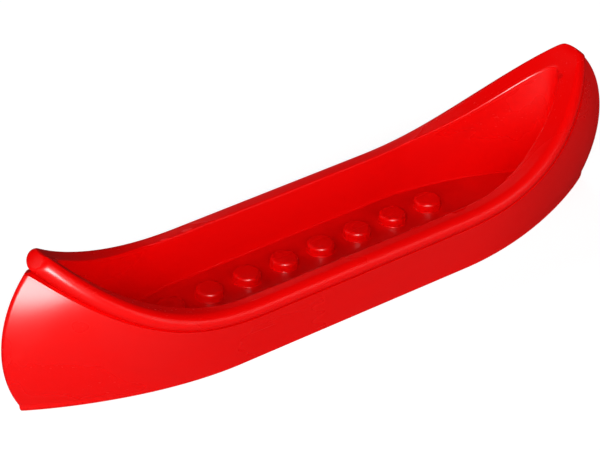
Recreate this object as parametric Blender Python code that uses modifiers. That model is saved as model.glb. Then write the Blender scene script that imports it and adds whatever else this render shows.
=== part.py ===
"""Toy canoe for building-brick figures: hull, floor plate, gunwale rim and sixteen studs.

Metres, +Z up.  +X runs along the length, +Y across it, z = 0 is the flat bottom,
and the origin is the middle of the bottom.  Both ends of the canoe are alike.
"""
from collections import namedtuple
from math import copysign, cos, hypot, pi, radians, sin, sqrt

import bmesh
import bpy
from mathutils import Matrix, Vector

MM = 0.001

# A closed plan outline: straight sides out to `straight`, then a curve in to the stem.
Outline = namedtuple("Outline", "half_length half_breadth straight fullness roundness")

# Stem: the side view of each end is an arc, which trims the hull and rim to a narrow band.
STEM_RADIUS = 21.46 * MM
STEM_CENTRE_X = 42.97 * MM
STEM_CENTRE_Z = 12.09 * MM
STEM_SPREAD = 5                      # how fast the arc's swell dies away from the end

# Gunwale rim: a flat top with a rounded bead along its outer side.
BEAD_RADIUS = 1.57 * MM
BEAD_END = radians(100)              # the bead turns a little past vertical
BEAD_PATH = Outline(57.37 * MM, 12.35 * MM, 19.7 * MM, 3.3, 0.832)
SHEER_LOW = 11.7 * MM                # height of the bead's centre amidships
SHEER_RISE = 16.06 * MM              # how much higher it is at the stems
SHEER_START = 19.3 * MM
SHEER_POWER = 2.48
INNER_EDGE_DROP = 0.3 * MM           # chamfer along the rim's inner edge
INNER_EDGE_SHARE = 0.1               # its width, as a share of the way to the bead's path

# Cockpit.
INNER_TOP = Outline(53.05 * MM, 10.8 * MM, 27.85 * MM, 1.3, 0.585)
FLOOR = Outline(52.4 * MM, 10.63 * MM, 23.6 * MM, 1.52, 0.68)
FLOOR_TOP = 4.1 * MM
FLOOR_THICKNESS = 1.8 * MM

# Hull.
HULL_TOP_REACH = 1.34 * MM           # how far its top edge lies outside the bead's path
SKIN_BOTTOM = 2.0 * MM               # thickness of the hull's bottom
GAP = 0.3 * MM                       # clearance between neighbouring pieces

# Tongue under the rim and the groove that it sits in, as shares of the wall's width.
TONGUE_SHARE = (0.38, 0.62)
GROOVE_SHARE = (0.26, 0.74)
TONGUE_DEPTH = 1.0 * MM

# Studs: the standard brick pitch.
STUD_PITCH = 8.0 * MM
STUD_COLUMNS = 8
STUD_RADIUS = 2.4 * MM
STUD_HEIGHT = 1.7 * MM               # above the floor
STUD_EDGE = 0.2 * MM
SPIGOT_RADIUS = 1.5 * MM
SPIGOT_DEPTH = 0.9 * MM              # how far the spigot enters the hull's bottom

# Fineness of the facets.
STUD_SIDES = 16
RING_POINTS = 88
FLANK_LEVELS = 10
BEAD_STEPS = 7
NORMAL_STEP = 0.01                   # turn of the ring, in radians, that a normal is taken over
SHARP_ANGLE = radians(35)
FLAT_ANGLE = radians(0.5)
WELD_DISTANCE = 0.01 * MM

# One red plastic, a little glossier on the pieces that are rubbed most.
RED = (0.62, 0.004, 0.004, 1.0)
HULL_ROUGHNESS = 0.22
RIM_ROUGHNESS = 0.18
FLOOR_ROUGHNESS = 0.25
STUD_ROUGHNESS = 0.20


def breadth_at(outline, x):
    """Half breadth of a plan outline at the distance x from amidships."""
    distance = abs(x)
    if distance <= outline.straight:
        return outline.half_breadth
    share = (distance - outline.straight) / (outline.half_length - outline.straight)
    return outline.half_breadth * max(0.0, 1.0 - share ** outline.fullness) ** outline.roundness


def outline_point(outline, angle):
    """Point of a plan outline; the points crowd towards the stems."""
    x = outline.half_length * cos(angle)
    return Vector((x, copysign(breadth_at(outline, x), sin(angle)), 0.0))


def outline_normal(outline, angle):
    """Outward normal of a plan outline, horizontal."""
    ahead = outline_point(outline, angle + NORMAL_STEP)
    behind = outline_point(outline, angle - NORMAL_STEP)
    tangent = (ahead - behind).normalized()
    return Vector((tangent.y, -tangent.x, 0.0))


def sheer_share(x):
    """How far the distance x from amidships is along the rising part of the sheer."""
    return max(0.0, abs(x) - SHEER_START) / (BEAD_PATH.half_length - SHEER_START)


def sheer_height(x):
    """Height of the bead's centre: level amidships, rising to the stems."""
    return SHEER_LOW + SHEER_RISE * sheer_share(x) ** SHEER_POWER


def bead_rise(x):
    """Height of the bead's top above its centre; a sloping bead cuts a taller section."""
    run = BEAD_PATH.half_length - SHEER_START
    slope = SHEER_POWER * SHEER_RISE / run * sheer_share(x) ** (SHEER_POWER - 1)
    return BEAD_RADIUS * sqrt(1 + slope ** 2)


def stem_reach(height):
    """Distance of the stem from amidships at a height."""
    return STEM_CENTRE_X + sqrt(STEM_RADIUS ** 2 - (height - STEM_CENTRE_Z) ** 2)


def trimmed(point):
    """The point, brought back onto the stem's arc if it lies beyond it."""
    out = abs(point.x) - STEM_CENTRE_X
    up = max(0.0, point.z - STEM_CENTRE_Z)
    if out > 0.0 and point.z < STEM_CENTRE_Z:
        out = min(out, stem_reach(point.z) - STEM_CENTRE_X)
    elif out > 0.0 and hypot(out, up) > STEM_RADIUS:
        shrink = STEM_RADIUS / hypot(out, up)
        out *= shrink
        point.z = STEM_CENTRE_Z + up * shrink
    point.x = copysign(STEM_CENTRE_X + out, point.x)
    return point


RIM_BASE = cos(BEAD_END)             # height of the rim's underside, in rises of the bead
BOTTOM = Outline(stem_reach(0.0), 10.8 * MM, 24.94 * MM, 1.84, 0.958)


def ring_angles():
    """Angles of one ring's points, the first and the middle one lying on the stems."""
    step = 2 * pi / RING_POINTS
    return [index * step for index in range(RING_POINTS)]


def flat_ring(outline, height):
    """Ring of an outline at one height."""
    return [outline_point(outline, angle) + Vector((0, 0, height)) for angle in ring_angles()]


def hull_edge(angle):
    """Point on the outer edge of the seam between hull and rim."""
    point = outline_point(BEAD_PATH, angle)
    height = sheer_height(point.x) + bead_rise(point.x) * RIM_BASE
    point += outline_normal(BEAD_PATH, angle) * HULL_TOP_REACH
    point.z = height
    return trimmed(point)


def flank_ring(level):
    """Ring of the hull's outer side, from level 0 at the bottom to 1 under the rim."""
    nose = hull_edge(0.0)
    chord = BOTTOM.half_length * (1 - level) + nose.x * level
    swell = stem_reach(nose.z * level) - chord
    ring = []
    for angle in ring_angles():
        high = hull_edge(angle) - Vector((0, 0, GAP))
        point = outline_point(BOTTOM, angle).lerp(high, level)
        point.x += copysign(swell * abs(cos(angle)) ** STEM_SPREAD, cos(angle))
        ring.append(trimmed(point))
    return ring


def seam_ring(share, drop=0.0):
    """Ring across the seam, share 0 being the cockpit's edge and 1 the outer edge."""
    ring = []
    for angle in ring_angles():
        inner = outline_point(INNER_TOP, angle)
        inner.z = sheer_height(inner.x) + bead_rise(inner.x) * RIM_BASE
        point = inner.lerp(hull_edge(angle), share)
        point.z -= drop
        ring.append(point)
    return ring


def top_ring(share, drop=0.0):
    """Ring on the rim's flat top, share 0 being the cockpit's edge and 1 the bead's path."""
    ring = []
    for angle in ring_angles():
        point = outline_point(INNER_TOP, angle).lerp(outline_point(BEAD_PATH, angle), share)
        point.z = sheer_height(point.x) + bead_rise(point.x) - drop
        ring.append(trimmed(point))
    return ring


def bead_ring(turn):
    """Ring of the bead's surface at an angle from straight up."""
    ring = []
    for angle in ring_angles():
        point = outline_point(BEAD_PATH, angle)
        height = sheer_height(point.x) + bead_rise(point.x) * cos(turn)
        point += outline_normal(BEAD_PATH, angle) * BEAD_RADIUS * sin(turn)
        point.z = height
        ring.append(trimmed(point))
    return ring


def loft(name, rings, closed):
    """Mesh object through the rings; closed joins the last to the first, else both are capped."""
    mesh = bpy.data.meshes.new(name)
    build = bmesh.new()
    rows = [[build.verts.new(point) for point in ring] for ring in rings]
    pairs = list(zip(rows, rows[1:]))
    if closed:
        pairs.append((rows[-1], rows[0]))
    for row, following in pairs:
        for index in range(RING_POINTS):
            ahead = (index + 1) % RING_POINTS
            build.faces.new((row[index], row[ahead], following[ahead], following[index]))
    if not closed:
        build.faces.new(rows[0])
        build.faces.new(rows[-1])
    bmesh.ops.recalc_face_normals(build, faces=build.faces[:])
    build.to_mesh(mesh)
    build.free()
    return place(name, mesh)


def place(name, mesh):
    """Object for a mesh, in the canoe's collection, shaded smooth with its sharp edges kept."""
    part = bpy.data.objects.new(name, mesh)
    canoe.objects.link(part)
    mesh.shade_smooth()
    mesh.set_sharp_from_angle(angle=SHARP_ANGLE)
    return part


def moulded_plastic(name, roughness):
    """Glossy red moulded plastic."""
    material = bpy.data.materials.new(name)
    material.use_nodes = True
    shader = material.node_tree.nodes["Principled BSDF"]
    shader.inputs["Base Color"].default_value = RED
    shader.inputs["Roughness"].default_value = roughness
    shader.inputs["Metallic"].default_value = 0.0
    return material


def stud_places():
    """Name and plan position of each stud, port being +Y."""
    for side, y in (("port", STUD_PITCH / 2), ("starboard", -STUD_PITCH / 2)):
        for column in range(STUD_COLUMNS):
            x = (column - (STUD_COLUMNS - 1) / 2) * STUD_PITCH
            yield "stud_%s_%d" % (side, column + 1), x, y


def make_hull():
    """Hull: outer flank, bottom, cockpit wall, and the groove that takes the rim's tongue."""
    rings = [flank_ring(level / FLANK_LEVELS) for level in range(FLANK_LEVELS + 1)]
    rings.append(seam_ring(GROOVE_SHARE[1], GAP))
    rings.append(seam_ring(GROOVE_SHARE[1], GAP + TONGUE_DEPTH))
    rings.append(seam_ring(GROOVE_SHARE[0], GAP + TONGUE_DEPTH))
    rings.append(seam_ring(GROOVE_SHARE[0], GAP))
    rings.append(seam_ring(0.0, GAP))
    rings.append(flat_ring(FLOOR, FLOOR_TOP))
    rings.append(flat_ring(FLOOR, SKIN_BOTTOM))
    hull = loft("hull_shell", rings, closed=False)
    hull.data.materials.append(moulded_plastic("hull_plastic", HULL_ROUGHNESS))
    return hull


def make_rim():
    """Gunwale rim: flat top, outer bead, and a tongue that drops into the hull's groove."""
    rings = [seam_ring(0.0)]
    rings.append(top_ring(0.0, INNER_EDGE_DROP))
    rings.append(top_ring(INNER_EDGE_SHARE))
    for step in range(BEAD_STEPS + 1):
        rings.append(bead_ring(BEAD_END * step / BEAD_STEPS))
    rings.append(seam_ring(TONGUE_SHARE[1]))
    rings.append(seam_ring(TONGUE_SHARE[1], TONGUE_DEPTH))
    rings.append(seam_ring(TONGUE_SHARE[0], TONGUE_DEPTH))
    rings.append(seam_ring(TONGUE_SHARE[0]))
    rim = loft("gunwale_rim", rings, closed=True)
    rim.data.materials.append(moulded_plastic("rim_plastic", RIM_ROUGHNESS))
    return rim


def make_floor():
    """Floor plate: the floor's outline as a thin flat slab, drawn in to clear the hull's wall.

    The pointed ends are drawn in twice as far, because the wall closes on them at a slant.
    """
    curve = bpy.data.curves.new("floor_outline", "CURVE")
    curve.dimensions = "2D"
    curve.fill_mode = "BOTH"
    curve.extrude = FLOOR_THICKNESS / 2
    drawn_in = FLOOR._replace(
        half_length=FLOOR.half_length - 2 * GAP,
        half_breadth=FLOOR.half_breadth - GAP,
    )
    edge = flat_ring(drawn_in, 0.0)
    spline = curve.splines.new("POLY")
    spline.points.add(len(edge) - 1)
    for target, point in zip(spline.points, edge):
        target.co = (point.x, point.y, 0.0, 1.0)
    spline.use_cyclic_u = True
    guide = bpy.data.objects.new("floor_outline", curve)
    canoe.objects.link(guide)
    guide.location.z = FLOOR_TOP - FLOOR_THICKNESS / 2
    bpy.context.view_layer.update()
    depsgraph = bpy.context.evaluated_depsgraph_get()
    mesh = bpy.data.meshes.new_from_object(guide.evaluated_get(depsgraph))
    mesh.transform(guide.matrix_world)
    bpy.data.objects.remove(guide)
    weld = bmesh.new()
    weld.from_mesh(mesh)
    bmesh.ops.remove_doubles(weld, verts=weld.verts[:], dist=WELD_DISTANCE)
    bmesh.ops.recalc_face_normals(weld, faces=weld.faces[:])
    bmesh.ops.dissolve_limit(weld, angle_limit=FLAT_ANGLE, verts=weld.verts[:], edges=weld.edges[:])
    weld.to_mesh(mesh)
    weld.free()
    plate = place("floor_plate", mesh)
    plate.data.materials.append(moulded_plastic("floor_plastic", FLOOR_ROUGHNESS))
    return plate


def turned(name, profile):
    """Solid turned about Z from a profile of (radius, height) points, listed top to bottom."""
    mesh = bpy.data.meshes.new(name)
    points = [(radius, 0.0, height) for radius, height in profile]
    edges = [(index, index + 1) for index in range(len(points) - 1)]
    mesh.from_pydata(points, edges, [])
    part = bpy.data.objects.new(name, mesh)
    canoe.objects.link(part)
    screw = part.modifiers.new("turn", "SCREW")
    screw.steps = STUD_SIDES
    screw.render_steps = STUD_SIDES
    screw.use_merge_vertices = True
    screw.merge_threshold = WELD_DISTANCE
    screw.use_smooth_shade = True
    return part


def make_studs():
    """Studs: a round head above the floor and a spigot down into the hull's bottom."""
    top = FLOOR_TOP + STUD_HEIGHT
    seat = FLOOR_TOP + GAP
    profile = [
        (0.0, top),
        (STUD_RADIUS - STUD_EDGE, top),
        (STUD_RADIUS, top - STUD_EDGE),
        (STUD_RADIUS, seat),
        (SPIGOT_RADIUS, seat),
        (SPIGOT_RADIUS, SKIN_BOTTOM - SPIGOT_DEPTH),
        (0.0, SKIN_BOTTOM - SPIGOT_DEPTH),
    ]
    plastic = moulded_plastic("stud_plastic", STUD_ROUGHNESS)
    for name, x, y in stud_places():
        stud = turned(name, profile)
        stud.location = (x, y, 0.0)
        stud.data.materials.append(plastic)


def bore(part, low, high):
    """Cut the holes for the studs' spigots through a part, between two heights."""
    build = bmesh.new()
    for _, x, y in stud_places():
        middle = Matrix.Translation((x, y, (low + high) / 2))
        bmesh.ops.create_cone(
            build,
            cap_ends=True,
            segments=STUD_SIDES,
            radius1=SPIGOT_RADIUS + GAP,
            radius2=SPIGOT_RADIUS + GAP,
            depth=high - low,
            matrix=middle,
        )
    mesh = bpy.data.meshes.new("bores_" + part.name)
    build.to_mesh(mesh)
    build.free()
    cutter = bpy.data.objects.new("bores_" + part.name, mesh)
    cutters.objects.link(cutter)
    cutter.hide_render = True
    cutter.display_type = "WIRE"
    holes = part.modifiers.new("spigot_holes", "BOOLEAN")
    holes.operation = "DIFFERENCE"
    holes.solver = "EXACT"
    holes.object = cutter


for leftover in list(bpy.data.objects):
    bpy.data.objects.remove(leftover)
canoe = bpy.data.collections.new("toy_canoe")
cutters = bpy.data.collections.new("cutters")
bpy.context.scene.collection.children.link(canoe)
bpy.context.scene.collection.children.link(cutters)

hull_shell = make_hull()
floor_plate = make_floor()
make_rim()
make_studs()
bore(hull_shell, SKIN_BOTTOM - SPIGOT_DEPTH - GAP, SKIN_BOTTOM + GAP)
bore(floor_plate, SKIN_BOTTOM, FLOOR_TOP + GAP)
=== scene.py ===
"""Looks of a toy canoe for building-brick figures: one glossy red moulding on a pale floor.

Metres, +Z up, in the CAD's own frame.  Both ends of the canoe are alike, and so are both sides.
"""
from collections import namedtuple
from math import cos, pi, radians, sin, sqrt

import bmesh
import bpy
import numpy as np
from mathutils import Matrix, Vector


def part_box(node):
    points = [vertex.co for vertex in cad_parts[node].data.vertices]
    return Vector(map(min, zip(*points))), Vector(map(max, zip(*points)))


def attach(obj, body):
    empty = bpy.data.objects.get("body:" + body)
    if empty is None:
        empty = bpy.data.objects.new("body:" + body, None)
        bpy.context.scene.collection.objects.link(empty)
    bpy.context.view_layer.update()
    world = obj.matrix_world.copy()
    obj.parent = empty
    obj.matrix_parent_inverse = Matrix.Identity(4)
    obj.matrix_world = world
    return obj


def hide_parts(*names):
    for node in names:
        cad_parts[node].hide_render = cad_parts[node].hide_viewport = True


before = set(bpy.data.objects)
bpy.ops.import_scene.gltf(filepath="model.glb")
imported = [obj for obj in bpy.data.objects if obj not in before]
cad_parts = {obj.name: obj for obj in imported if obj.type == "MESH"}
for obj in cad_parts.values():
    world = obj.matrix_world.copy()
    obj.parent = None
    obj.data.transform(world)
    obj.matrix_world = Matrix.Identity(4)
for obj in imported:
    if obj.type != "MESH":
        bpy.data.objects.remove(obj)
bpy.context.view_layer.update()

MM = 0.001
BODY = "root"

# ---------------------------------------------------------------- sizes

_, hull_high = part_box("hull_shell")
_, rim_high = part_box("gunwale_rim")
floor_low, floor_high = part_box("floor_plate")
STUDS = sorted(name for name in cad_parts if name.startswith("stud_"))

# A closed plan outline: straight sides out to `straight`, then a curve in to the stem.
Outline = namedtuple("Outline", "half_length half_breadth straight fullness roundness")

# Gunwale bead: a round edge whose centre line, the bead's path, rises to the stems.
BEAD_PATH = Outline(57.37 * MM, 12.35 * MM, 19.7 * MM, 3.3, 0.832)
BEAD_RADIUS = rim_high.y - BEAD_PATH.half_breadth
BEAD_END = radians(145)              # the bead turns under, down into the crease
SHEER_LOW = 11.69 * MM               # a hair lower than the solid model, to stay inside it
SHEER_RISE = 16.06 * MM
SHEER_START = 19.3 * MM
SHEER_POWER = 2.48
SHEER_RUN = BEAD_PATH.half_length - SHEER_START

# Cockpit.
INNER_TOP = Outline(53.05 * MM, 10.8 * MM, 27.85 * MM, 1.3, 0.585)
FLOOR = Outline(52.4 * MM, 10.63 * MM, 23.6 * MM, 1.52, 0.68)
FLOOR_TOP = floor_high.z
FLOOR_BASE = floor_low.z
INNER_EDGE_RADIUS = 0.35 * MM        # round along the top of the cockpit wall
FLOOR_FILLET = 0.35 * MM             # round where the wall meets the floor
STUD_EDGE_RADIUS = 0.6 * MM          # round along the stud's top
STUD_FOOT_RADIUS = 0.12 * MM         # round where the stud meets the floor

# Stems: seen from the side, each end of the canoe is an arc.
STEM_RADIUS = 21.46 * MM
STEM_CENTRE_X = hull_high.x - STEM_RADIUS
STEM_CENTRE_Z = 12.09 * MM
STEM_SOFTNESS = 0.06 * MM            # roundness of the edges where the arc trims the sides
STEM_TRIM = 0.45 * MM                # length that the arc trims off under the rim
STEM_PINCH = 0.5                     # how much narrower the flanks run together there
STEM_PINCH_SPREAD = 40               # how fast that dies away from the stem
STEM_SPREAD = 5                      # and how fast the arc's own swell does
NOSE_SOFTNESS = 0.35 * MM            # roundness where the arc trims the rim's top
NOSE_CROWN = 0.9 * MM                # how far the middle of the rim's nose stands out
NOSE_SIDE = 2.63 * MM                # distance off the middle where it no longer does

# Hull.
BOTTOM_REACH = STEM_CENTRE_X + sqrt(STEM_RADIUS ** 2 - STEM_CENTRE_Z ** 2)
BOTTOM = Outline(BOTTOM_REACH, 10.8 * MM, 24.94 * MM, 1.84, 0.958)
BILGE_RADIUS = 0.5 * MM              # round between the flank and the bottom
FLANK_TOP = cos(radians(138))        # height of the flank's top edge, in rises of the bead
FLANK_TOP_REACH = 1.34 * MM          # how far that edge lies outside the bead's path
CREASE_REACH = 0.93 * MM             # the bottom of the crease, outside the bead's path
CREASE_DEPTH = 0.1 * MM              # and below the flank's top edge
HIDDEN_GAP = 0.02 * MM               # between pieces, where no one sees it
TINY = 0.001 * MM                    # least length that is divided by

# Fineness of the meshes.
RING_POINTS = 480
FLANK_LEVELS = 44
WALL_LEVELS = 16
TOP_LEVELS = 8
BEAD_STEPS = 22
FILLET_STEPS = 6
STUD_SIDES = 72
SHARP_ANGLE = radians(32)            # edges sharper than this stay crisp in the shading
ZERO_DIGITS = 9                      # sines are rounded to this, so that they are 0 on the middle line

ANGLES = np.arange(RING_POINTS) * 2 * pi / RING_POINTS
FILLET_TURNS = [radians(90) * step / FILLET_STEPS for step in range(FILLET_STEPS + 1)]


# ---------------------------------------------------------------- curves of the canoe

def breadth_at(outline, x):
    """Half breadth of a plan outline at the distances x from amidships."""
    share = (np.abs(x) - outline.straight) / (outline.half_length - outline.straight)
    share = np.clip(share, 0.0, 1.0)
    return outline.half_breadth * (1.0 - share ** outline.fullness) ** outline.roundness


def plan(outline, angles=ANGLES):
    """Points (x, y) of a plan outline; they crowd towards the stems."""
    x = outline.half_length * np.cos(angles)
    y = breadth_at(outline, x) * np.sign(np.round(np.sin(angles), ZERO_DIGITS))
    return np.stack([x, y], axis=1)


def plan_normal(outline):
    """Outward normals of a plan outline at its points."""
    step = pi / RING_POINTS
    along = plan(outline, ANGLES + step) - plan(outline, ANGLES - step)
    along /= np.linalg.norm(along, axis=1)[:, None]
    return np.stack([along[:, 1], -along[:, 0]], axis=1)


def drawn_in(outline, inset):
    """An outline made smaller all round by about the inset."""
    return outline._replace(
        half_length=outline.half_length - inset,
        half_breadth=outline.half_breadth - inset,
    )


def sheer_share(x):
    """How far out along the sheer's rise: 0 where it starts, 1 at the end of the bead's path."""
    return np.clip(np.abs(x) - SHEER_START, 0.0, None) / SHEER_RUN


def sheer_height(x):
    """Height of the bead's centre: level amidships, rising to the stems."""
    return SHEER_LOW + SHEER_RISE * sheer_share(x) ** SHEER_POWER


def bead_rise(x):
    """Height of the bead's top above its centre; a sloping bead cuts a taller section."""
    slope = SHEER_POWER * SHEER_RISE / SHEER_RUN * sheer_share(x) ** (SHEER_POWER - 1)
    return BEAD_RADIUS * np.sqrt(1 + slope ** 2)


def rim_height(x):
    """Height of the rim's flat top."""
    return sheer_height(x) + bead_rise(x)


def stem_reach(height):
    """Distance of the stem from amidships at a height."""
    return STEM_CENTRE_X + np.sqrt(STEM_RADIUS ** 2 - (height - STEM_CENTRE_Z) ** 2)


def ring(points, height):
    """Ring of 3-D points from plan points and a height, or a height for each point."""
    return np.column_stack([points, np.broadcast_to(height, len(points))])


def soft_min(value, limit, softness):
    """The value, bent smoothly so that it never passes the limit."""
    return value - softness * np.logaddexp(0.0, (value - limit) / softness)


def trimmed(points, softness=STEM_SOFTNESS):
    """Ring whose points beyond the stem's arc are brought back onto it, with a crowned nose."""
    x, y, z = points.T
    out = np.clip(np.abs(x) - STEM_CENTRE_X, 0.0, None)
    up = np.clip(z - STEM_CENTRE_Z, 0.0, None)
    down = np.clip(STEM_CENTRE_Z - z, 0.0, None)
    limit = np.sqrt(STEM_RADIUS ** 2 - down ** 2)
    # The nose stands out past the arc in the middle, and falls behind it at its sides.
    crown = NOSE_CROWN * (up / STEM_RADIUS) ** 2 * (1.0 - (y / NOSE_SIDE) ** 2)
    far = np.maximum(np.hypot(out, up), TINY)
    near_stem = far > STEM_RADIUS / 2
    shorter = np.where(near_stem, soft_min(far, limit + crown, softness) / far, 1.0)
    lower = np.where(near_stem, soft_min(far, limit, softness) / far, 1.0)
    return np.column_stack([x + np.sign(x) * out * (shorter - 1), y, z + up * (lower - 1)])


PATH = plan(BEAD_PATH)
PATH_X = PATH[:, 0]
PATH_NORMAL = plan_normal(BEAD_PATH)
FLANK_EDGE = trimmed(ring(
    PATH + PATH_NORMAL * FLANK_TOP_REACH,
    sheer_height(PATH_X) + bead_rise(PATH_X) * FLANK_TOP,
))


def flank_ring(level):
    """Ring of the hull's outer side, from level 0 at the bottom to 1 at its top edge."""
    nose_x, _, nose_z = FLANK_EDGE[0]
    points = ring(plan(BOTTOM), 0.0) * (1 - level) + FLANK_EDGE * level
    chord = BOTTOM.half_length * (1 - level) + nose_x * level
    swell = stem_reach(nose_z * level) - chord + STEM_TRIM * level
    endward = np.cos(ANGLES)
    points[:, 1] *= 1 - STEM_PINCH * level * np.abs(endward) ** STEM_PINCH_SPREAD
    points[:, 0] += np.sign(endward) * swell * np.abs(endward) ** STEM_SPREAD
    return trimmed(points)


def bilge_ring(turn, low_level):
    """Ring of the round below the flank: turn 0 is on the flank, 90 degrees on the bottom."""
    points = flank_ring(low_level)
    inset = BILGE_RADIUS * (1 - cos(turn))
    points[:, 0] *= 1 - inset / BOTTOM.half_length
    points[:, 1] *= 1 - inset / BOTTOM.half_breadth
    points[:, 2] *= 1 - sin(turn)
    return points


# ---------------------------------------------------------------- pieces

def loft(name, rings, closed):
    """Mesh object through the rings; closed joins the last to the first, else both are capped."""
    mesh = bpy.data.meshes.new(name)
    build = bmesh.new()
    rows = [[build.verts.new(point) for point in points] for points in rings]
    pairs = list(zip(rows, rows[1:]))
    if closed:
        pairs.append((rows[-1], rows[0]))
    for row, following in pairs:
        for index in range(len(row)):
            ahead = (index + 1) % len(row)
            build.faces.new((row[index], row[ahead], following[ahead], following[index]))
    if not closed:
        build.faces.new(rows[0])
        build.faces.new(rows[-1])
    bmesh.ops.recalc_face_normals(build, faces=build.faces[:])
    build.to_mesh(mesh)
    build.free()
    mesh.shade_smooth()
    mesh.set_sharp_from_angle(angle=SHARP_ANGLE)
    piece = bpy.data.objects.new(name, mesh)
    bpy.context.scene.collection.objects.link(piece)
    return piece


def outer_rings():
    """Rings of the hull's outside: round of the bilge, flank, and the crease under the bead."""
    low_level = BILGE_RADIUS / (SHEER_LOW + BEAD_RADIUS * FLANK_TOP)
    rings = [bilge_ring(turn, low_level) for turn in reversed(FILLET_TURNS[1:])]
    for step in range(FLANK_LEVELS + 1):
        rings.append(flank_ring(low_level + (1 - low_level) * step / FLANK_LEVELS))
    crease = flank_ring(1.0)
    crease[:, :2] -= PATH_NORMAL * (FLANK_TOP_REACH - CREASE_REACH)
    crease[:, 2] -= CREASE_DEPTH
    rings.append(trimmed(crease))
    return rings


def cockpit_rings():
    """Rings of the hull's inside: cockpit wall, round to the floor, and down beside the floor."""
    inner = plan(INNER_TOP)
    wall_foot = FLOOR_TOP + FLOOR_FILLET
    top = ring(inner, rim_height(inner[:, 0]) - INNER_EDGE_RADIUS)
    foot = ring(plan(FLOOR), wall_foot)
    rings = []
    for step in range(WALL_LEVELS + 1):
        share = step / WALL_LEVELS
        rings.append(top * (1 - share) + foot * share)
    for turn in FILLET_TURNS[1:]:
        inset = FLOOR_FILLET * (1 - cos(turn))
        rings.append(ring(plan(drawn_in(FLOOR, inset)), wall_foot - FLOOR_FILLET * sin(turn)))
    rings.append(ring(plan(drawn_in(FLOOR, FLOOR_FILLET)), FLOOR_BASE - HIDDEN_GAP))
    return rings


def rim_rings():
    """Rings of the gunwale rim: inner round, flat top, bead; its underside lies on the hull."""
    inner = plan(INNER_TOP)
    across = PATH - inner
    width = np.linalg.norm(across, axis=1)[:, None]
    rings = []
    for turn in FILLET_TURNS:
        points = inner + across / width * INNER_EDGE_RADIUS * (1 - cos(turn))
        drop = INNER_EDGE_RADIUS * (1 - sin(turn))
        rings.append(trimmed(ring(points, rim_height(points[:, 0]) - drop), NOSE_SOFTNESS))
    edge_share = INNER_EDGE_RADIUS / width
    for step in range(1, TOP_LEVELS):
        share = step / TOP_LEVELS
        points = inner + across * (edge_share + (1 - edge_share) * share)
        rings.append(trimmed(ring(points, rim_height(points[:, 0])), NOSE_SOFTNESS))
    for step in range(BEAD_STEPS + 1):
        turn = BEAD_END * step / BEAD_STEPS
        points = PATH + PATH_NORMAL * BEAD_RADIUS * sin(turn)
        height = sheer_height(PATH_X) + bead_rise(PATH_X) * cos(turn)
        softness = NOSE_SOFTNESS + (STEM_SOFTNESS - NOSE_SOFTNESS) * step / BEAD_STEPS
        rings.append(trimmed(ring(points, height), softness))
    return rings


def floor_rings():
    """Rings of the floor plate."""
    edge = plan(drawn_in(FLOOR, FLOOR_FILLET))
    return [ring(edge, FLOOR_BASE), ring(edge, FLOOR_TOP)]


def stud_rings(radius, top):
    """Rings of one stud, turned about Z, from inside the floor to the crown."""
    profile = [(radius + STUD_FOOT_RADIUS, FLOOR_TOP - STUD_FOOT_RADIUS)]
    for turn in FILLET_TURNS:
        reach = radius + STUD_FOOT_RADIUS * (1 - sin(turn))
        profile.append((reach, FLOOR_TOP + STUD_FOOT_RADIUS * (1 - cos(turn))))
    for turn in FILLET_TURNS:
        reach = radius - STUD_EDGE_RADIUS * (1 - cos(turn))
        profile.append((reach, top - STUD_EDGE_RADIUS * (1 - sin(turn))))
    turns = np.arange(STUD_SIDES) * 2 * pi / STUD_SIDES
    circle = np.stack([np.cos(turns), np.sin(turns)], axis=1)
    return [ring(circle * reach, height) for reach, height in profile]


def make_stud(node):
    """Stud with a rounded top, in the place of a CAD stud."""
    low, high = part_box(node)
    centre = (low + high) / 2
    stud = loft("round_" + node, stud_rings((high.x - low.x) / 2, high.z), closed=False)
    stud.data.transform(Matrix.Translation((centre.x, centre.y, 0.0)))
    return stud


def finish_piece(piece, material, node):
    """Give a piece its material, put it on the body, and let it stand for its CAD node."""
    piece.data.materials.append(material)
    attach(piece, BODY)
    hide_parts(node)


# ---------------------------------------------------------------- material

# The plastic's colour with the colour of its flow marks, and a deeper pair for the floor: the same
# plastic darkened, painted shade on the cockpit floor.
REDS = ((0.88, 0.0006, 0.0005, 1.0), (0.84, 0.0004, 0.0004, 1.0))
SHADED_FLOOR_REDS = ((0.68, 0.0003, 0.0003, 1.0), (0.64, 0.0002, 0.0002, 1.0))
WORN_RED = (0.95, 0.0030, 0.0025, 1.0)
# Colour of the painted shade spot at the rim's end.
CORNER_SHADE_RED = (0.64, 0.0, 0.0, 1.0)
SPECULAR = 0.45

# A pattern is noise: its scale in waves per metre, and its detail.
Pattern = namedtuple("Pattern", "scale detail")
FLOW = Pattern(55.0, 3.0)            # broad marks where the plastic flowed
PEEL = Pattern(900.0, 2.0)           # orange peel
GRAIN = Pattern(5200.0, 1.0)         # grain of the mould's steel
SCRATCH = Pattern(2300.0, 2.0)       # fine scratches
WEAR = Pattern(75.0, 2.0)            # patches where scratches and worn edges gather

# Some patterns are drawn out along the hull.
FLOW_STRETCH = (0.35, 1.6, 1.0)
SCRATCH_STRETCH = (0.03, 1.0, 1.0)

# A relief is how strongly a pattern shows as unevenness, and its height.
Relief = namedtuple("Relief", "strength height")
FLOW_RELIEF = Relief(0.25, 0.05 * MM)
PEEL_RELIEF = Relief(0.3, 0.006 * MM)
GRAIN_RELIEF = Relief(0.2, 0.0015 * MM)
SCRATCH_RELIEF = Relief(0.4, 0.004 * MM)

# A band is the range of a value over which an effect goes from none to full.
FLOW_COLOUR_BAND = (0.38, 0.66)
FLOW_GLOSS_BAND = (0.35, 0.65)
SCRATCH_WEAR_BAND = (0.42, 0.62)
EDGE_WEAR_BAND = (0.35, 0.65)
EDGE_BAND = (0.52, 0.60)             # of a surface's pointedness

# Two runs of scratches: which way each runs, and its band.
SCRATCH_RUNS = ((radians(9), (0.68, 0.76)), (radians(-31), (0.69, 0.77)))

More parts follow.
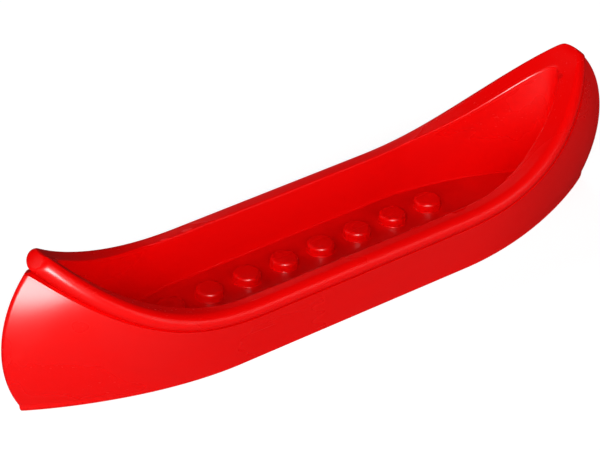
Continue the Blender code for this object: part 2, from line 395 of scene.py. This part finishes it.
FLOW_GLOSS = 0.03                    # roughness that flow marks add or take away
SCRATCH_GLOSS = 0.25                 # roughness that a full scratch adds
EDGE_GLOSS = 0.05                    # roughness that a worn edge adds
EDGE_PALENESS = 0.6
LEAST_SCRATCHED = 0.1                # share of the scratches that unworn patches keep
LEAST_EDGE_WEAR = 0.3                # and of the worn edges

# Painted shade: a small dark spot on the rim at one end, in the corner where the cockpit's two inner
# edges meet at the stem.
CORNER_SHADE_SPOT = (52.4 * MM, -1.9 * MM, 25.1 * MM)
CORNER_SHADE_BAND = (0.35 * MM, 0.7 * MM)
CORNER_SHADE_DARKNESS = 0.75


def math_node(tree, operation, first, second):
    """Math node fed by a socket and by a socket or a number."""
    node = tree.nodes.new("ShaderNodeMath")
    node.operation = operation
    tree.links.new(first, node.inputs[0])
    if isinstance(second, (int, float)):
        node.inputs[1].default_value = second
    else:
        tree.links.new(second, node.inputs[1])
    return node.outputs["Value"]


def stretch(tree, coordinates, turns, scale):
    """Coordinates turned about the axes and scaled, for a pattern that runs one way."""
    node = tree.nodes.new("ShaderNodeMapping")
    node.inputs["Rotation"].default_value = turns
    node.inputs["Scale"].default_value = scale
    tree.links.new(coordinates, node.inputs["Vector"])
    return node.outputs["Vector"]


def noise(tree, coordinates, pattern):
    """Noise from 0 to 1."""
    node = tree.nodes.new("ShaderNodeTexNoise")
    node.inputs["Scale"].default_value = pattern.scale
    node.inputs["Detail"].default_value = pattern.detail
    tree.links.new(coordinates, node.inputs["Vector"])
    return node.outputs["Fac"]


def ramp(tree, value, band, result=(0.0, 1.0)):
    """Smooth ramp from the result's first number to its second, as a value crosses a band."""
    node = tree.nodes.new("ShaderNodeMapRange")
    node.interpolation_type = "SMOOTHSTEP"
    node.inputs["From Min"].default_value = band[0]
    node.inputs["From Max"].default_value = band[1]
    node.inputs["To Min"].default_value = result[0]
    node.inputs["To Max"].default_value = result[1]
    tree.links.new(value, node.inputs["Value"])
    return node.outputs["Result"]


def blend(tree, share, first, second):
    """Colour mixed from two colours, each a socket or a plain value."""
    node = tree.nodes.new("ShaderNodeMix")
    node.data_type = "RGBA"
    tree.links.new(share, node.inputs["Factor"])
    colour_inputs = [socket for socket in node.inputs if socket.type == "RGBA"]
    for socket, colour in zip(colour_inputs, (first, second)):
        if isinstance(colour, tuple):
            socket.default_value = colour
        else:
            tree.links.new(colour, socket)
    return next(socket for socket in node.outputs if socket.type == "RGBA")


def bump(tree, height, relief, below=None):
    """Bump from a height, on top of another bump if one is given."""
    node = tree.nodes.new("ShaderNodeBump")
    node.inputs["Strength"].default_value = relief.strength
    node.inputs["Distance"].default_value = relief.height
    tree.links.new(height, node.inputs["Height"])
    if below is not None:
        tree.links.new(below, node.inputs["Normal"])
    return node.outputs["Normal"]


def scratch_lines(tree, place, worn, upright):
    """Fine scratches in two directions, on upright or level faces, most of them in worn patches."""
    runs = []
    for turn, band in SCRATCH_RUNS:
        turns = (0.0, turn, 0.0) if upright else (0.0, 0.0, turn)
        along = stretch(tree, place, turns, SCRATCH_STRETCH)
        runs.append(ramp(tree, noise(tree, along, SCRATCH), band))
    patches = ramp(tree, worn, SCRATCH_WEAR_BAND, (LEAST_SCRATCHED, 1.0))
    return math_node(tree, "MULTIPLY", math_node(tree, "MAXIMUM", *runs), patches)


def worn_edges(tree, worn):
    """Wear along the edges that stand out, most of it in worn patches."""
    pointed = tree.nodes.new("ShaderNodeNewGeometry").outputs["Pointiness"]
    patches = ramp(tree, worn, EDGE_WEAR_BAND, (LEAST_EDGE_WEAR, 1.0))
    return math_node(tree, "MULTIPLY", ramp(tree, pointed, EDGE_BAND), patches)


def corner_shaded(tree, place, colour):
    """Colour with a small dark spot of painted shade on it, where the rim's inner edges meet at one
    end.
    """
    away = tree.nodes.new("ShaderNodeVectorMath")
    away.operation = "DISTANCE"
    away.inputs[1].default_value = CORNER_SHADE_SPOT
    tree.links.new(place, away.inputs[0])
    dark = ramp(tree, away.outputs["Value"], CORNER_SHADE_BAND, (CORNER_SHADE_DARKNESS, 0.0))
    return blend(tree, dark, colour, CORNER_SHADE_RED)


def moulded_plastic(name, colours, roughness, scratches, upright=False, corner_shade=False):
    """Glossy red plastic: flow marks, a trace of orange peel, fine scratches, paler edges."""
    material = bpy.data.materials.new(name)
    material.use_nodes = True
    tree = material.node_tree
    shader = tree.nodes["Principled BSDF"]
    shader.inputs["Specular IOR Level"].default_value = SPECULAR
    place = tree.nodes.new("ShaderNodeTexCoord").outputs["Object"]

    flow = noise(tree, stretch(tree, place, (0.0, 0.0, 0.0), FLOW_STRETCH), FLOW)
    peel = noise(tree, place, PEEL)
    grain = noise(tree, place, GRAIN)
    worn = noise(tree, place, WEAR)
    lines = scratch_lines(tree, place, worn, upright)
    edges = worn_edges(tree, worn)

    colour = blend(tree, ramp(tree, flow, FLOW_COLOUR_BAND), *colours)
    colour = blend(tree, math_node(tree, "MULTIPLY", edges, EDGE_PALENESS), colour, WORN_RED)
    # Painted shade: a dark spot in the corner where the rim's inner edges meet at one end.
    if corner_shade:
        colour = corner_shaded(tree, place, colour)
    tree.links.new(colour, shader.inputs["Base Color"])

    gloss = ramp(tree, flow, FLOW_GLOSS_BAND, (roughness - FLOW_GLOSS, roughness + FLOW_GLOSS))
    scratched = math_node(tree, "MULTIPLY", lines, scratches * SCRATCH_GLOSS)
    gloss = math_node(tree, "ADD", gloss, scratched)
    gloss = math_node(tree, "ADD", gloss, math_node(tree, "MULTIPLY", edges, EDGE_GLOSS))
    tree.links.new(gloss, shader.inputs["Roughness"])

    normal = bump(tree, flow, FLOW_RELIEF)
    normal = bump(tree, peel, PEEL_RELIEF, normal)
    normal = bump(tree, grain, GRAIN_RELIEF, normal)
    normal = bump(tree, math_node(tree, "MULTIPLY", lines, -scratches), SCRATCH_RELIEF, normal)
    tree.links.new(normal, shader.inputs["Normal"])
    return material


# ---------------------------------------------------------------- floor, light and camera

GROUND_REACH = 3.0                   # each way from the canoe
GROUND_DEPTH = 0.02 * MM             # below the canoe's bottom
GROUND_GREY = (0.35, 0.35, 0.35, 1.0)
GROUND_ROUGHNESS = 0.9
GROUND_GLOW = 0.18                   # on the canoe
GROUND_GLOW_SEEN = 0.82              # for the camera
WHITE = (1.0, 1.0, 1.0, 1.0)
WORLD_IN_REFLECTIONS = 0.01          # brightness of the surroundings in the canoe's reflections

# Round area lights, all of one size.  Azimuth and elevation in degrees, power in watts.
Softbox = namedtuple("Softbox", "name azimuth elevation power")
SOFTBOXES = (
    Softbox("key", 50, 32, 5.0),
    Softbox("front", 15, 32, 2.7),
    Softbox("right_fill", -25, 12, 3.0),
    Softbox("left_low", 76, 8, 3.2),
    Softbox("left_back", 125, 32, 2.4),
    Softbox("back_fill", 205, 30, 2.0),
)
# Cards make highlights only.
HIGHLIGHT_CARD = Softbox("highlight_card", 43, 11, 17.0)
STUD_CARD = Softbox("stud_card", 30, 34, 13.0)
SOFTBOX_SIZE = 0.5
LIGHT_DISTANCE = 1.0
LIGHT_TARGET = Vector((0.0, 0.0, 0.01))

VIEW_AZIMUTH = radians(38.914)
VIEW_ELEVATION = radians(32.697)
VIEW_ROLL = radians(-1.548)
VIEW_DISTANCE = 0.5685
VIEW_LENS = 198.24                   # focal length in millimetres
VIEW_RISE = 10.663 * MM              # how far above the origin the picture is centred
VIEW_SHIFT = -3.087 * MM             # and to the right of it


def direction(azimuth, elevation):
    """Unit vector towards a place: azimuth from -Y turning to -X, elevation above the floor."""
    return Vector((
        -sin(azimuth) * cos(elevation),
        -cos(azimuth) * cos(elevation),
        sin(elevation),
    ))


def pale_floor():
    """Plain pale floor: it glows for the eye, and less for the canoe, which doesn't mirror it."""
    material = bpy.data.materials.new("pale_floor")
    material.use_nodes = True
    nodes = material.node_tree.nodes
    links = material.node_tree.links
    shader = nodes["Principled BSDF"]
    shader.inputs["Base Color"].default_value = GROUND_GREY
    shader.inputs["Roughness"].default_value = GROUND_ROUGHNESS
    shader.inputs["Specular IOR Level"].default_value = 0.0
    shader.inputs["Emission Color"].default_value = WHITE
    path = nodes.new("ShaderNodeLightPath")
    glow = nodes.new("ShaderNodeMix")
    glow.inputs["A"].default_value = GROUND_GLOW
    glow.inputs["B"].default_value = GROUND_GLOW_SEEN
    links.new(path.outputs["Is Camera Ray"], glow.inputs["Factor"])
    links.new(glow.outputs["Result"], shader.inputs["Emission Strength"])
    clear = nodes.new("ShaderNodeBsdfTransparent")
    surface = nodes.new("ShaderNodeMixShader")
    links.new(path.outputs["Is Glossy Ray"], surface.inputs["Fac"])
    links.new(shader.outputs["BSDF"], surface.inputs[1])
    links.new(clear.outputs["BSDF"], surface.inputs[2])
    links.new(surface.outputs["Shader"], nodes["Material Output"].inputs["Surface"])
    material.cycles.emission_sampling = "NONE"
    return material


def make_ground():
    """Floor under the canoe, far wider than the picture."""
    mesh = bpy.data.meshes.new("ground")
    plane = bmesh.new()
    bmesh.ops.create_grid(plane, x_segments=1, y_segments=1, size=GROUND_REACH)
    plane.to_mesh(mesh)
    plane.free()
    mesh.materials.append(pale_floor())
    ground = bpy.data.objects.new("ground", mesh)
    bpy.context.scene.collection.objects.link(ground)
    ground.location.z = -GROUND_DEPTH


def make_softbox(softbox):
    """Round area light aimed at the canoe."""
    data = bpy.data.lights.new(softbox.name, "AREA")
    data.shape = "DISK"
    data.size = SOFTBOX_SIZE
    data.energy = softbox.power
    light = bpy.data.objects.new(softbox.name, data)
    bpy.context.scene.collection.objects.link(light)
    towards = direction(radians(softbox.azimuth), radians(softbox.elevation))
    light.location = towards * LIGHT_DISTANCE
    light.rotation_euler = (LIGHT_TARGET - light.location).to_track_quat("-Z", "Y").to_euler()
    return light


def make_lights(studs):
    """Softboxes that light the canoe, a card for the highlights, and one only for the studs'."""
    for softbox in SOFTBOXES:
        make_softbox(softbox).visible_glossy = False
    make_softbox(HIGHLIGHT_CARD).visible_diffuse = False
    stud_card = make_softbox(STUD_CARD)
    stud_card.visible_diffuse = False
    stud_card.light_linking.receiver_collection = studs


def make_world():
    """Surroundings that are white for the eye, near dark in reflections, and give no other light."""
    world = bpy.data.worlds.new("studio")
    world.use_nodes = True
    world.cycles.sampling_method = "NONE"
    bpy.context.scene.world = world
    nodes = world.node_tree.nodes
    links = world.node_tree.links
    background = nodes["Background"]
    background.inputs["Color"].default_value = WHITE
    path = nodes.new("ShaderNodeLightPath")
    strength = nodes.new("ShaderNodeMix")
    strength.inputs["B"].default_value = WORLD_IN_REFLECTIONS
    links.new(path.outputs["Is Camera Ray"], strength.inputs["A"])
    links.new(path.outputs["Is Glossy Ray"], strength.inputs["Factor"])
    links.new(strength.outputs["Result"], background.inputs["Strength"])


def make_camera():
    """Long lens that looks down on the -X end and the -Y side, tipped a little."""
    data = bpy.data.cameras.new("camera")
    data.sensor_width = 36.0
    data.lens = VIEW_LENS
    data.clip_start = 0.01
    data.clip_end = 50.0
    camera = bpy.data.objects.new("camera", data)
    bpy.context.scene.collection.objects.link(camera)
    back = direction(VIEW_AZIMUTH, VIEW_ELEVATION)
    right = Vector((cos(VIEW_AZIMUTH), -sin(VIEW_AZIMUTH), 0.0))
    up = back.cross(right)
    camera.location = up * VIEW_RISE + right * VIEW_SHIFT + back * VIEW_DISTANCE
    tipped_right = right * cos(VIEW_ROLL) - up * sin(VIEW_ROLL)
    tipped_up = right * sin(VIEW_ROLL) + up * cos(VIEW_ROLL)
    turn = Matrix((tipped_right, tipped_up, back)).transposed()
    camera.rotation_euler = turn.to_euler()
    bpy.context.scene.camera = camera


# ---------------------------------------------------------------- the canoe and its setting

hull_plastic = moulded_plastic("hull_plastic", REDS, roughness=0.29, scratches=0.4, upright=True)
# The rim's plastic carries the painted shade spot at its end.
rim_plastic = moulded_plastic("rim_plastic", REDS, roughness=0.26, scratches=0.6, corner_shade=True)
# The floor plate is the same plastic made darker: painted shade in the cockpit.
floor_plastic = moulded_plastic("floor_plastic", SHADED_FLOOR_REDS, roughness=0.32, scratches=1.0)
stud_plastic = moulded_plastic("stud_plastic", REDS, roughness=0.27, scratches=0.8)

hull = loft("hull", outer_rings() + cockpit_rings(), closed=False)
finish_piece(hull, hull_plastic, "hull_shell")
gunwale = loft("gunwale", rim_rings(), closed=True)
finish_piece(gunwale, rim_plastic, "gunwale_rim")
floor = loft("floor", floor_rings(), closed=False)
finish_piece(floor, floor_plastic, "floor_plate")
studs = bpy.data.collections.new("studs")
for node in STUDS:
    stud = make_stud(node)
    finish_piece(stud, stud_plastic, node)
    studs.objects.link(stud)

make_ground()
make_lights(studs)
make_world()
make_camera()
bpy.context.scene.view_settings.view_transform = "Standard"
